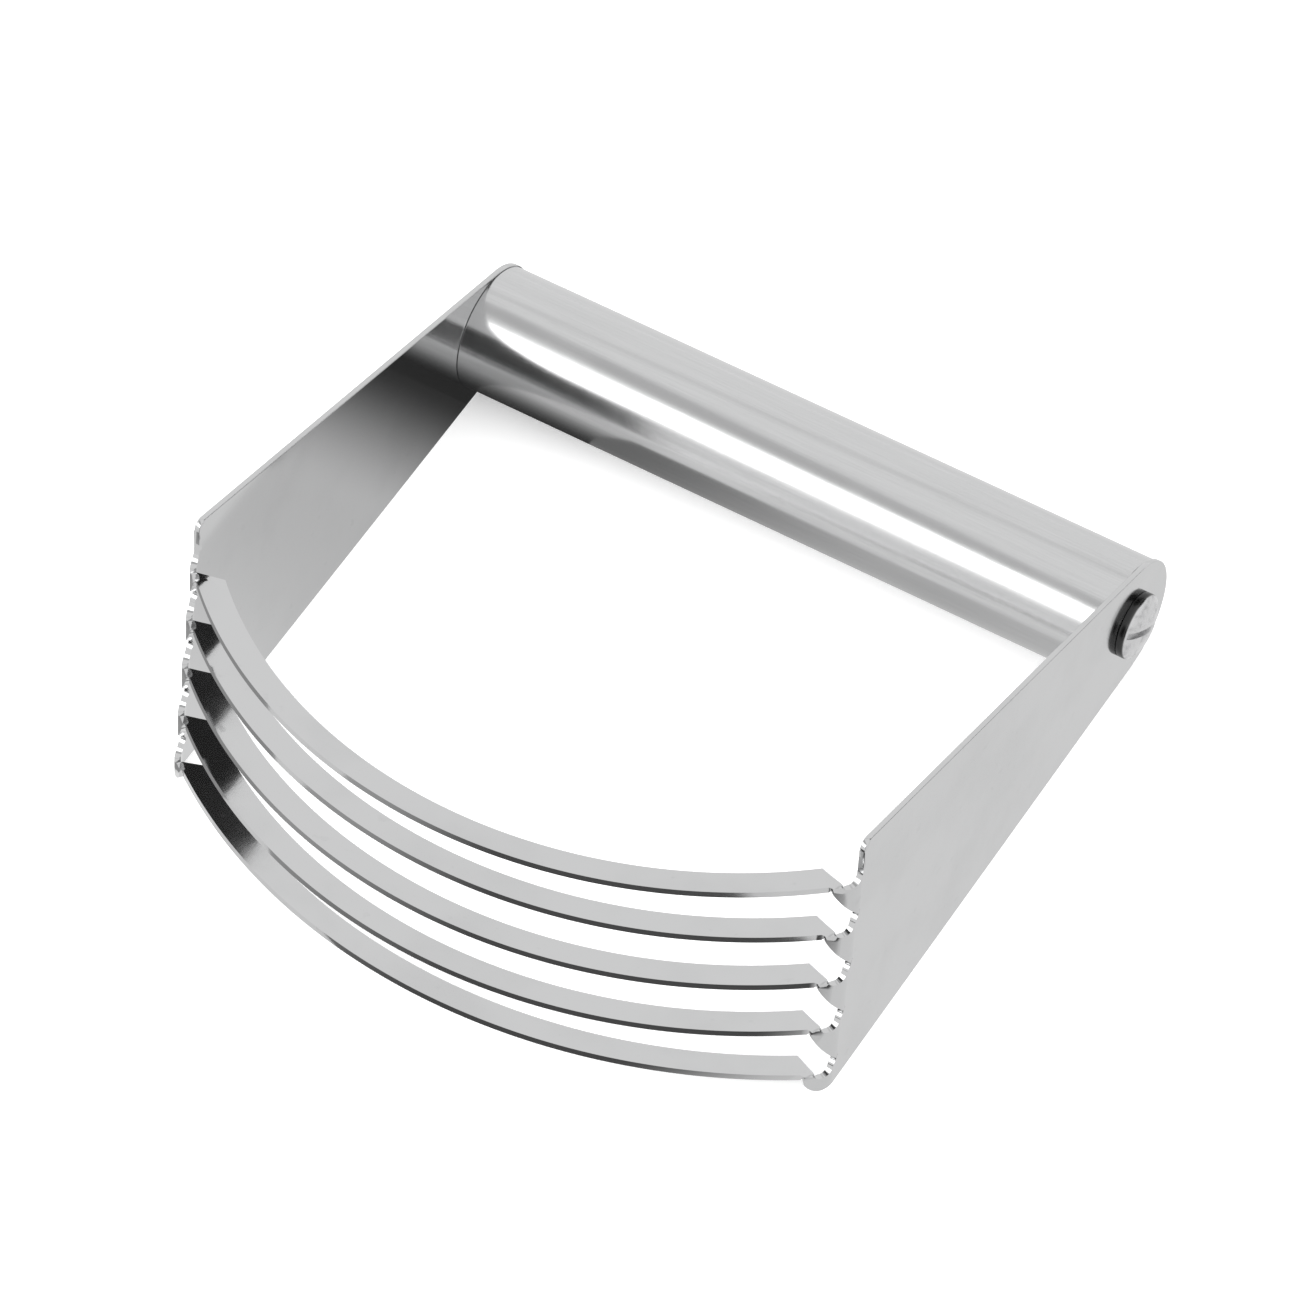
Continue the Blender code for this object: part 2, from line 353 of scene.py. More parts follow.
@dataclass(frozen=True)
class BrushedTube:
    """Stainless tube, ground along its length, with fine streaks and a few rubs."""

    bright: tuple[float, float, float, float] = (0.62, 0.622, 0.625, 1.0)
    dull: tuple[float, float, float, float] = (0.56, 0.562, 0.565, 1.0)
    gloss: float = 0.16
    haze: float = 0.06

    def dress(self) -> bpy.types.Material:
        """Make the finish.

        Returns:
            The material.
        """
        graph = Graph("brushed_stainless_tube")
        along = graph.place(Grain.ALONG_HANDLE.value)
        broad = graph.noise(along, 2.2 * MM, 1.0, 0.5)
        fine = graph.noise(along, 0.22 * MM, 3.0, 0.6)
        lines = graph.noise(graph.place(Grain.HAIRLINE.value), 0.16 * MM, 2.0, 0.5)
        hair = graph.step(lines, 0.60, 0.74)
        rub = graph.step(graph.noise(graph.place(), 14 * MM, 3.0, 0.55), 0.46, 0.74)
        streak = broad * 0.35 + fine * 0.65
        mask = graph.step(streak, 0.30, 0.70) * 0.7 + hair * 0.3
        tone = graph.blend(mask, self.bright, self.dull)
        rough = self.gloss + mask * self.haze + rub * 0.04
        normal = graph.relief(streak * 0.8 + hair * 0.2, 0.005 * MM)
        return graph.finish(Base_Color=tone, Metallic=1.0, Roughness=rough, Normal=normal)


@dataclass(frozen=True)
class TurnedSteel:
    """Turned steel with fine rings round the handle's axis, and painted shade: from just inside
    the rim radius outward the tone turns near black, which on a screw head's side wall stands for
    the shade where the head meets the plate.
    """

    name: str = "turned_steel"
    bright: tuple[float, float, float, float] = (0.68, 0.68, 0.685, 1.0)
    dull: tuple[float, float, float, float] = (0.48, 0.48, 0.485, 1.0)
    ring: float = 0.35 * MM
    gloss: float = 0.16
    haze: float = 0.16
    rim: float = 20.0 * MM
    # Painted shade: near-black tone from just inside the rim radius outward.
    rim_painted_shade: float = 0.07
    rim_outer: float = 0.02 * MM
    rim_inner: float = 0.14 * MM

    def dress(self) -> bpy.types.Material:
        """Make the finish.

        Returns:
            The material.
        """
        graph = Graph(self.name)
        flat = graph.place(Grain.ROUND_HANDLE.value)
        radius = graph.node("ShaderNodeVectorMath", {"operation": "LENGTH"}, {0: flat}, "Value")
        ring_place = graph.node("ShaderNodeCombineXYZ", None, {"X": radius, "Y": 0.0, "Z": 0.0})
        rings = graph.noise(ring_place, self.ring, 3.0, 0.6)
        stain = graph.step(graph.noise(graph.place(), 1.8 * MM, 3.0, 0.6), 0.45, 0.75)
        face = graph.blend(stain * 0.6 + rings * 0.3, self.bright, self.dull)
        # Painted shade: the side wall at the rim radius turns near black, for the shade between
        # the screw head and the plate.
        painted_shade_at_rim = graph.step(radius, self.rim - self.rim_inner, self.rim - self.rim_outer)
        tone = graph.blend(painted_shade_at_rim, face, grey(self.rim_painted_shade))
        rough = self.gloss + rings * self.haze + stain * 0.12
        normal = graph.relief(rings, 0.02 * MM)
        return graph.finish(Base_Color=tone, Metallic=1.0, Roughness=rough, Normal=normal)


@dataclass(frozen=True)
class StudioPaper:
    """Pale paper that the tool lies on, lit a little from below as on a light table."""

    tone: float = 0.94
    shade: float = 0.92
    glow: float = 0.35

    def dress(self) -> bpy.types.Material:
        """Make the finish.

        Returns:
            The material.
        """
        graph = Graph("studio_paper")
        mottle = graph.noise(graph.place(), 0.4, 2.0, 0.5)
        tone = graph.blend(mottle * 0.5, grey(self.tone), grey(self.shade))
        return graph.finish(
            Base_Color=tone,
            Roughness=0.9,
            Specular_IOR_Level=0.1,
            Emission_Color=tone,
            Emission_Strength=self.glow,
        )


@dataclass
class Workshop:
    """Turns meshes into named pieces that ride on CAD bodies."""

    collection: bpy.types.Collection

    def piece(
        self,
        name: str,
        mesh: bpy.types.Mesh,
        materials: Sequence[bpy.types.Material],
        body: Body,
        node: str,
        smooth: float = 35.0,
        origin: Vector | None = None,
    ) -> bpy.types.Object:
        """Dress a mesh and put it on its body in place of its CAD node.

        Args:
            name: Name of the piece.
            mesh: Mesh of the piece, placed in the part or about its own origin.
            materials: Finishes, in the order of the mesh's slots.
            body: CAD body that the piece rides on.
            node: CAD node that it stands for.
            smooth: Largest angle that is shaded smooth, in degrees.
            origin: Place of the mesh's own origin.

        Returns:
            The placed object.
        """
        mesh.name = name
        mesh.materials.clear()
        for material in materials:
            mesh.materials.append(material)
        mesh.shade_smooth()
        mesh.set_sharp_from_angle(angle=math.radians(smooth))
        placed = bpy.data.objects.new(name, mesh)
        placed.location = origin or Vector()
        self.collection.objects.link(placed)
        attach(placed, body.value)
        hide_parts(node)
        log.info("%s: %d faces on %s", name, len(mesh.polygons), body.value)
        return placed

    def settle(
        self, mesh: bpy.types.Mesh, tools: Callable[[bpy.types.Object], None]
    ) -> bpy.types.Mesh:
        """Run modifiers on a mesh and keep the result.

        Args:
            mesh: Mesh to start from.
            tools: Function that adds the modifiers to an object.

        Returns:
            The modified mesh.
        """
        blank = bpy.data.objects.new("blank", mesh)
        self.collection.objects.link(blank)
        tools(blank)
        graph = bpy.context.evaluated_depsgraph_get()
        settled = bpy.data.meshes.new_from_object(blank.evaluated_get(graph), depsgraph=graph)
        bpy.data.objects.remove(blank, do_unlink=True)
        return settled

    def turned(self, profile: Sequence[tuple[float, float]], steps: int) -> bpy.types.Mesh:
        """Turn a closed profile about the X axis.

        Args:
            profile: Points as (radius, length).
            steps: Number of steps in a full turn.

        Returns:
            The turned mesh.
        """
        shape = bmesh.new()
        verts = [shape.verts.new((radius, 0.0, length)) for radius, length in profile]
        for near, far in zip(verts, verts[1:] + verts[:1]):
            if max(near.co.x, far.co.x) > 1e-9:
                shape.edges.new((near, far))
        outline = bpy.data.meshes.new("outline")
        shape.to_mesh(outline)
        shape.free()

        def turn(blank: bpy.types.Object) -> None:
            """Add the Screw modifier."""
            screw = blank.modifiers.new("Turn", "SCREW")
            screw.angle = FULL_TURN
            screw.steps = steps
            screw.render_steps = steps
            screw.use_merge_vertices = True
            screw.merge_threshold = 1e-5

        made = self.settle(outline, turn)
        shape = bmesh.new()
        shape.from_mesh(made)
        bmesh.ops.remove_doubles(shape, verts=shape.verts, dist=WELD)
        bmesh.ops.recalc_face_normals(shape, faces=shape.faces)
        shape.transform(Matrix.Rotation(QUARTER_TURN, 4, "Y"))
        shape.to_mesh(made)
        shape.free()
        return made

    @staticmethod
    def mirrored(mesh: bpy.types.Mesh) -> bpy.types.Mesh:
        """Mirror a mesh to the left and keep its faces outward.

        Args:
            mesh: Mesh of the right piece.

        Returns:
            Mesh of the left piece.
        """
        other = mesh.copy()
        other.transform(Matrix.Scale(-1.0, 4, (1.0, 0.0, 0.0)))
        other.flip_normals()
        return other


@dataclass
class BladeCurve:
    """Plan of a blade's outer edge: a small bend out of the plate, then one big arc."""

    half_span: float
    depth: float
    root: float
    bend: float
    radius: float = field(init=False)
    centre: float = field(init=False)
    start: float = field(init=False)
    turn: float = field(init=False)
    bend_length: float = field(init=False)
    length: float = field(init=False)

    def __post_init__(self) -> None:
        """Work out the arc through the root and the tip."""
        rise = self.depth - self.root
        self.radius = (self.half_span**2 + rise**2) / (2 * rise)
        self.centre = self.depth - self.radius
        inner = self.radius - self.bend
        across = self.half_span - self.bend
        self.start = self.centre + math.sqrt(inner**2 - across**2)
        self.turn = math.atan2(self.start - self.centre, across)
        self.bend_length = self.bend * self.turn
        self.length = self.bend_length + self.radius * (QUARTER_TURN - self.turn)

    def at(self, distance: float) -> tuple[tuple[float, float], tuple[float, float]]:
        """Point on the curve.

        Args:
            distance: Length along the curve from the start of the bend.

        Returns:
            The point as (x, reach), and the outward direction there.
        """
        if distance <= self.bend_length:
            angle = distance / self.bend
            base = (self.half_span - self.bend, self.start)
            radius = self.bend
        else:
            angle = self.turn + (distance - self.bend_length) / self.radius
            base = (0.0, self.centre)
            radius = self.radius
        out = (math.cos(angle), math.sin(angle))
        return (base[0] + radius * out[0], base[1] + radius * out[1]), out


@dataclass
class BladeFrame:
    """One sheet, stamped and bent: two side plates and the blades between them."""

    shop: Workshop
    axis: Vector
    sheet: float = 0.9 * MM
    half_span: float = 53.55 * MM
    end_radius: float = 9.7 * MM
    taper: float = 0.16
    corner_radius: float = 1.4 * MM
    pivot_radius: float = 2.35 * MM
    pitch: float = 8.7 * MM
    top_level: float = 14.5 * MM
    blade_width: float = 4.0 * MM
    droop: float = 0.45 * MM
    depths: tuple[float, ...] = (99.7 * MM, 99.2 * MM, 100.0 * MM, 100.4 * MM, 99.3 * MM)
    top_root: float = 77.0 * MM
    root_step: float = 1.0 * MM
    bend: float = 3.0 * MM
    fold_start: float = 2.6 * MM
    fold_end: float = 4.4 * MM
    flat_full: float = 4.7 * MM
    shoulder: float = 16.6 * MM
    slots: tuple[float, ...] = (8.2 * MM, -0.8 * MM, -9.6 * MM, -18.4 * MM)
    neck: float = 1.8 * MM
    neck_steps: int = 9
    last_straight: float = 1.9 * MM
    last_relief: float = 0.08 * MM
    bend_strip: float = 0.7 * MM
    edge_ease: float = 0.12 * MM
    bend_line: float = 4e-5 * MM
    rows: int = 8
    folds: int = 8
    stations: int = 72
    corner_steps: int = 16
    end_steps: int = 96
    hole_steps: int = 64
    flat_parts: tuple[float, ...] = (0.25, 0.5, 0.75, 1.0)

    @property
    def lean(self) -> float:
        """Angle of a plate's edges to its middle line."""
        return math.atan(self.taper)

    @property
    def laid(self) -> Matrix:
        """Turn and shift from the tool's own frame, where the handle's axis is the origin."""
        return Matrix.Translation(self.axis) @ Matrix.Rotation(-self.lean, 4, "X")

    def level(self, index: int) -> float:
        """Height of a blade's outer edge in the stack."""
        return self.top_level - index * self.pitch

    def edge(self, reach: float) -> float:
        """Half width of a side plate at a distance from the handle's axis."""
        return self.end_radius / math.cos(self.lean) + self.taper * reach

    def curve(self, index: int) -> BladeCurve:
        """Plan of one blade, counted from the top."""
        root = self.top_root + index * self.root_step
        return BladeCurve(self.half_span, self.depths[index], root, self.bend)

    def web_top(self, index: int, distance: float) -> float:
        """Upper edge of a blade's root.

        Args:
            index: Blade, counted from the top.
            distance: Length along its curve.

        Returns:
            Height in the stack.
        """
        start = self.shoulder if index == 0 else self.slots[index - 1]
        along = min(distance / self.neck, 1.0)
        drop = 1.0 - math.sqrt(max(0.0, 1.0 - (1.0 - along) ** 2))
        return self.level(index) + (start - self.level(index)) * drop

    def web_bottom(self, index: int, distance: float, curve: BladeCurve) -> float:
        """Lower edge of a blade's root.

        Args:
            index: Blade, counted from the top.
            distance: Length along its curve.
            curve: Plan of the blade.

        Returns:
            Height in the stack.
        """
        level = self.level(index)
        if index < len(self.depths) - 1:
            along = min(distance / self.fold_end, 1.0)
            return level - (level - self.slots[index]) * (1.0 - along) ** 0.8
        straight = min(distance, self.last_straight)
        relief = self.last_relief * straight / self.last_straight
        foot = relief - self.edge(curve.at(straight)[0][1])
        if distance <= self.last_straight:
            return foot
        across = (distance - self.last_straight) / (self.fold_end - self.last_straight)
        return level + (foot - level) * math.sqrt(max(0.0, 1.0 - min(across, 1.0) ** 2))

    @staticmethod
    def point(curve: BladeCurve, distance: float, inward: float, height: float) -> Vector:
        """Point of the sheet's middle surface.

        Args:
            curve: Plan of the blade.
            distance: Length along its curve.
            inward: Distance in from the outer edge.
            height: Height in the stack.

        Returns:
            The point in the tool's own frame.
        """
        (x, reach), out = curve.at(distance)
        return Vector((x - out[0] * inward, -(reach - out[1] * inward), height))

    def add_blade(self, shape: bmesh.types.BMesh, index: int) -> list[bmesh.types.BMVert]:
        """Add the root and half the length of one blade.

        Args:
            shape: Mesh to add to.
            index: Blade, counted from the top.

        Returns:
            Vertices on the bend line, top first.
        """
        curve = self.curve(index)
        level = self.level(index)
        turns = [QUARTER_TURN * step / self.neck_steps for step in range(self.neck_steps + 1)]
        distances = [self.neck * (1.0 - math.cos(turn)) for turn in turns]
        distances += [(self.neck + self.fold_start) / 2, self.fold_start]
        span = self.fold_end - self.fold_start
        steps = range(1, self.folds + 1)
        fold = [self.fold_start + span * step / self.folds for step in steps]
        columns = []
        for distance in distances + fold[:-1]:
            top = self.web_top(index, distance) if distance < self.fold_start else level
            bottom = self.web_bottom(index, distance, curve)
            column = []
            for row in range(self.rows + 1):
                height = top + (bottom - top) * row / self.rows
                column.append(shape.verts.new(self.point(curve, distance, 0.0, height)))
            columns.append(column)
        for left, right in zip(columns, columns[1:]):
            for row in range(self.rows):
                shape.faces.new((left[row], left[row + 1], right[row + 1], right[row]))
        nose = shape.verts.new(self.point(curve, self.fold_end, 0.0, level))
        last = columns[-1]
        for row in range(self.rows):
            shape.faces.new((last[row], last[row + 1], nose))
        outer = [column[0] for column in columns[len(distances) - 1 :]] + [nose]
        self.add_flat(shape, curve, level, outer, [self.fold_start] + fold)
        return columns[0]

    def add_flat(
        self,
        shape: bmesh.types.BMesh,
        curve: BladeCurve,
        level: float,
        outer: Sequence[bmesh.types.BMVert],
        distances: list[float],
    ) -> None:
        """Add the flat of a blade, which opens from a point at its fold.

        Args:
            shape: Mesh to add to.
            curve: Plan of the blade.
            level: Height of its outer edge.
            outer: Vertices that the flat shares with its root.
            distances: Lengths along the curve of those vertices.
        """
        run = curve.length - self.flat_full
        steps = range(self.stations + 1)
        stations = [self.flat_full + run * step / self.stations for step in steps]
        previous: list[bmesh.types.BMVert] = []
        for number, distance in enumerate(list(distances) + stations):
            opening = min((distance - self.fold_start) / (self.flat_full - self.fold_start), 1.0)
            if number < len(outer):
                edge = outer[number]
            else:
                edge = shape.verts.new(self.point(curve, distance, 0.0, level))
            row = [edge]
            for part in self.flat_parts:
                if number == 0:
                    row.append(edge)
                    continue
                inward = self.blade_width * opening * part
                height = level - self.droop * opening * part
                row.append(shape.verts.new(self.point(curve, distance, inward, height)))
            for near in range(len(row) - 1 if previous else 0):
                corners = [previous[near], row[near], row[near + 1], previous[near + 1]]
                unique = list(dict.fromkeys(corners))
                if len(unique) > 2:
                    shape.faces.new(unique)
            previous = row

    def outline(self) -> list[tuple[float, float]]:
        """Outline of a plate from its upper front corner, round the handle, to its lower edge.

        Returns:
            Points as (reach, height).
        """
        reach = self.curve(0).start - self.corner_radius
        height = self.edge(reach) - self.corner_radius / math.cos(self.lean)
        upright = QUARTER_TURN + self.lean
        corner = self.arc((reach, height), self.corner_radius, 0.0, upright, self.corner_steps)
        below = FULL_TURN - upright
        return corner + self.arc((0.0, 0.0), self.end_radius, upright, below, self.end_steps)

    @staticmethod
    def arc(
        centre: tuple[float, float], radius: float, start: float, end: float, count: int
    ) -> list[tuple[float, float]]:
        """Points on an arc.

        Args:
            centre: Centre of the arc.
            radius: Radius of the arc.
            start: Angle of the first point.
            end: Angle of the last point.
            count: Number of steps.

        Returns:
            Points as (reach, height).
        """
        points = []
        for step in range(count + 1):
            angle = start + (end - start) * step / count
            across = radius * math.cos(angle)
            points.append((centre[0] + across, centre[1] + radius * math.sin(angle)))
        return points

    def add_plate(self, shape: bmesh.types.BMesh) -> None:
        """Fill the side plate between its outline, the blade roots and the pivot hole.

        Args:
            shape: Mesh that holds the blade roots.
        """
        roots = [vert for vert in shape.verts if abs(vert.co.x - self.half_span) < self.bend_line]
        front = sorted(roots, key=lambda vert: vert.co.z)
        loop = []
        for reach, height in self.outline():
            loop.append(shape.verts.new((self.half_span, -reach, height)))
        front.append(loop[0])
        inner = []
        for number, vert in enumerate(front):
            lift = self.taper * self.bend_strip if number == 0 else 0.0
            inner.append(shape.verts.new(vert.co + Vector((0.0, self.bend_strip, lift))))
        for number in range(len(front) - 1):
            shape.faces.new((front[number], front[number + 1], inner[number + 1], inner[number]))
        loop += inner
        hole = []
        circle = self.arc((0.0, 0.0), self.pivot_radius, 0.0, FULL_TURN, self.hole_steps)
        for reach, height in circle[:-1]:
            hole.append(shape.verts.new((self.half_span, -reach, height)))
        edges = []
        for ring in (loop, hole):
            for near, far in zip(ring, ring[1:] + ring[:1]):
                edges.append(shape.edges.get((near, far)) or shape.edges.new((near, far)))
        bmesh.ops.triangle_fill(shape, use_beauty=True, use_dissolve=False, edges=edges)

    def middle_surface(self) -> bpy.types.Mesh:
        """Build the middle surface of the right half.

        Returns:
            The open mesh, in the tool's own frame.
        """
        shape = bmesh.new()
        above = None
        for index in range(len(self.depths)):
            column = self.add_blade(shape, index)
            if above is not None:
                middle = (above.co + column[0].co) / 2
                above.co = middle
                column[0].co = middle
            above = column[-1]
        bmesh.ops.remove_doubles(shape, verts=shape.verts, dist=WELD)
        self.add_plate(shape)
        bmesh.ops.recalc_face_normals(shape, faces=shape.faces)
        mesh = bpy.data.meshes.new("middle_surface")
        shape.to_mesh(mesh)
        shape.free()
        mesh.materials.append(None)
        mesh.materials.append(None)
        return mesh

    def thicken(self, blank: bpy.types.Object) -> None:
        """Mirror the half and give it the sheet's thickness.

        Args:
            blank: Object that holds the middle surface.
        """
        mirror = blank.modifiers.new("Both sides", "MIRROR")
        mirror.use_clip = True
        mirror.merge_threshold = 1e-5
        solid = blank.modifiers.new("Sheet", "SOLIDIFY")
        solid.thickness = self.sheet
        solid.offset = 0.0
        solid.material_offset_rim = 1

    def is_outline(self, point: Vector) -> bool:
        """Whether a point is on a plate's outline, clear of the bent roots."""
        on_plate = abs(point.x) > self.half_span - self.sheet
        reach = -point.y
        at_corner = reach < self.curve(0).start + 0.01 * MM and point.z > self.shoulder + 1.0 * MM
        return on_plate and (at_corner or reach < self.curve(0).start - 1.0 * MM)

    def ease_edges(self, mesh: bpy.types.Mesh) -> None:
        """Round the cut edges of the plates.

        Args:
            mesh: Thick mesh in the tool's own frame, which is changed.
        """
        shape = bmesh.new()
        shape.from_mesh(mesh)
        cut = []
        for edge in shape.edges:
            sharp = len(edge.link_faces) == 2 and edge.calc_face_angle() > math.radians(55.0)
            if sharp and all(self.is_outline(vert.co) for vert in edge.verts):
                cut.append(edge)
        bmesh.ops.bevel(
            shape, geom=cut, offset=self.edge_ease, segments=2, profile=0.5, affect="EDGES"
        )
        shape.to_mesh(mesh)
        shape.free()

    def build(self) -> bpy.types.Object:
        """Build the frame.

        Returns:
            The placed piece.
        """
        mesh = self.shop.settle(self.middle_surface(), self.thicken)
        self.ease_edges(mesh)
        mesh.transform(self.laid)
        finishes = [RolledSheet().dress(), ShearedEdge().dress()]
        placed = self.shop.piece(
            "blade_frame_sheet", mesh, finishes, Body.FRAME, "blade_frame", smooth=50.0
        )
        flat = placed.modifiers.new("Flat plates", "WEIGHTED_NORMAL")
        flat.mode = "FACE_AREA"
        flat.weight = 100
        flat.keep_sharp = True
        return placed


@dataclass
class Handle:
    """Tube between the plates, a plug in each end of it, and the screws that hold it."""

    shop: Workshop
    axis: Vector
    plate_face: float = 54.0 * MM
    sheet: float = 0.9 * MM
    gap: float = 0.3 * MM
    tube_clearance: float = 0.03 * MM
    head_clearance: float = 0.04 * MM
    tube_radius: float = 9.5 * MM
    tube_wall: float = 1.0 * MM
    plug_length: float = 9.0 * MM
    bore_radius: float = 2.3 * MM
    shank_radius: float = 2.0 * MM
    shank_length: float = 9.5 * MM
    head_radius: float = 5.0 * MM
    head_height: float = 2.1 * MM
    head_edge: float = 0.6 * MM
    slot_width: float = 1.0 * MM
    slot_depth: float = 1.0 * MM
    slot_angle: float = 58.0
    slot_ease: float = 0.1 * MM
    thread_pitch: float = 0.7 * MM
    thread_depth: float = 0.3 * MM
    thread_lead: float = 1.6 * MM
    tip_length: float = 0.6 * MM
    tube_ease: float = 0.12 * MM
    plug_ease: float = 0.5 * MM
    grooves: int = 3
    tube_steps: int = 160
    plug_steps: int = 96
    screw_steps: int = 128
    ease_steps: int = 6
    dome_steps: int = 16

    @property
    def tube_end(self) -> float:
        """Distance of the tube's end from the middle."""
        return self.plate_face - self.sheet - self.gap

    def build_tube(self) -> bpy.types.Object:
        """Build the tube, with rounded ends.

        Returns:
            The placed piece.
        """
        inner = self.tube_radius - self.tube_wall
        end = self.plate_face - self.sheet - self.tube_clearance
        corner = []
        for step in range(self.ease_steps + 1):
            angle = QUARTER_TURN * step / self.ease_steps
            radius = self.tube_radius - self.tube_ease * (1.0 - math.sin(angle))
            corner.append((radius, end - self.tube_ease * (1.0 - math.cos(angle))))
        profile = [(inner, end)] + corner
        profile += [(radius, -length) for radius, length in reversed(profile)]
        mesh = self.shop.turned(profile, self.tube_steps)
        finish = BrushedTube().dress()
        return self.shop.piece(
            "handle_tube_skin", mesh, [finish], Body.HANDLE, "handle_tube", origin=self.axis
        )

    def build_plug(self) -> bpy.types.Mesh:
        """Build the right plug, with grip grooves round it.

        Returns:
            The mesh about the handle's axis.
        """
        radius = self.tube_radius - self.tube_wall - self.gap
        end = self.tube_end
        start = end - self.plug_length
        ease = self.plug_ease
        profile = [(self.bore_radius, end), (radius - ease, end), (radius, end - ease)]
        for groove in range(self.grooves):
            centre = end - self.plug_length * (0.3 + 0.2 * groove)
            for offset, depth in ((0.45, 0.0), (0.2, 0.35), (-0.2, 0.35), (-0.45, 0.0)):
                profile.append((radius - depth * MM, centre + offset * MM))
        profile += [(radius, start + ease), (radius - ease, start), (self.bore_radius, start)]
        return self.shop.turned(profile, self.plug_steps)

    def screw_profile(self) -> list[tuple[float, float]]:
        """Outline of the right screw: domed head, and a shank with thread ridges.

        Returns:
            Points as (radius, length).
        """
        seat = self.plate_face + self.gap
        foot = self.plate_face + self.head_clearance
        rim = seat + self.head_edge
        dome = self.head_height - self.head_edge
        profile = [(0.0, seat + self.head_height)]
        for step in range(1, self.dome_steps + 1):
            angle = QUARTER_TURN * step / self.dome_steps
            profile.append((self.head_radius * math.sin(angle), rim + dome * math.cos(angle)))
        profile += [
            (self.head_radius, foot + 0.1 * MM),
            (self.head_radius - 0.03 * MM, foot + 0.03 * MM),
            (self.head_radius - 0.1 * MM, foot),
            (self.shank_radius, foot),
        ]
        thread_start = self.plate_face - self.thread_lead
        tip = self.plate_face - self.shank_length
        turns = int((thread_start - tip - self.tip_length) / self.thread_pitch)
        for turn in range(turns):
            crest = thread_start - turn * self.thread_pitch
            profile.append((self.shank_radius, crest))
            valley = self.shank_radius - self.thread_depth
            profile.append((valley, crest - self.thread_pitch / 2))
        profile += [(self.shank_radius - 0.1 * MM, tip + self.tip_length)]
        profile += [(self.shank_radius - 0.7 * MM, tip), (0.0, tip)]
        return profile

    def build_screw(self) -> bpy.types.Mesh:
        """Build the right screw, with its driver slot.

        Returns:
            The mesh about the handle's axis.
        """
        blank = self.shop.turned(self.screw_profile(), self.screw_steps)
        top = self.plate_face + self.gap + self.head_height
        shape = bmesh.new()
        bmesh.ops.create_cube(shape, size=1.0)
        size = (2 * self.slot_depth, self.slot_width, 3 * self.head_radius, 1.0)
        turn = Matrix.Rotation(math.radians(self.slot_angle), 4, "X")
        shape.transform(Matrix.Translation((top, 0.0, 0.0)) @ turn @ Matrix.Diagonal(size))
        bar = bpy.data.meshes.new("driver_slot")
        shape.to_mesh(bar)
        shape.free()
        cutter = bpy.data.objects.new("driver_slot", bar)
        self.shop.collection.objects.link(cutter)

        def cut(screw: bpy.types.Object) -> None:
            """Add the slot's Boolean and ease its edges."""
            slot = screw.modifiers.new("Driver slot", "BOOLEAN")
            slot.operation = "DIFFERENCE"
            slot.solver = "EXACT"
            slot.object = cutter
            ease = screw.modifiers.new("Eased edges", "BEVEL")
            ease.width = self.slot_ease
            ease.segments = 2
            ease.limit_method = "ANGLE"
            ease.angle_limit = math.radians(50.0)

        mesh = self.shop.settle(blank, cut)
        bpy.data.objects.remove(cutter, do_unlink=True)
        return mesh

    def build(self) -> list[bpy.types.Object]:
        """Build every piece of the handle.

        Returns:
            The placed pieces.
        """
        made = [self.build_tube()]
        plug_steel = TurnedSteel("turned_plug_steel", gloss=0.3)
        screw_steel = TurnedSteel(
            "bright_screw_steel", dull=(0.36, 0.36, 0.365, 1.0), rim=self.head_radius
        )
        kinds = (
            ("handle_plug", "turned", self.build_plug(), plug_steel.dress()),
            ("handle_screw", "slotted", self.build_screw(), screw_steel.dress()),
        )
        for kind, word, right, finish in kinds:
            for side in (Side.RIGHT, Side.LEFT):
                mesh = right if side is Side.RIGHT else self.shop.mirrored(right)
                node = f"{kind}_{side.word}"
                name = f"{node}_{word}"
                made.append(
                    self.shop.piece(name, mesh, [finish], Body.HANDLE, node, origin=self.axis)
                )
        return made


@dataclass(frozen=True)
class Softbox:
    """Area light."""

    name: str
    place: tuple[float, float, float]
    aim: tuple[float, float, float]
    width: float
    height: float
    power: float


@dataclass(frozen=True)
class Flag:
    """Grey card that only reflections see, as a photographer sets beside a bright object; one laid
    just above the floor is a painted reflection, whose tone paints light and shade that the metal
    mirrors.

    Its tone fades from one end of its width to the other, or of its height if it fades upward.
    """

    name: str
    place: tuple[float, float, float]
    aim: tuple[float, float, float] | None
    width: float
    height: float
    tone: float
    far_tone: float
    upward: bool = False


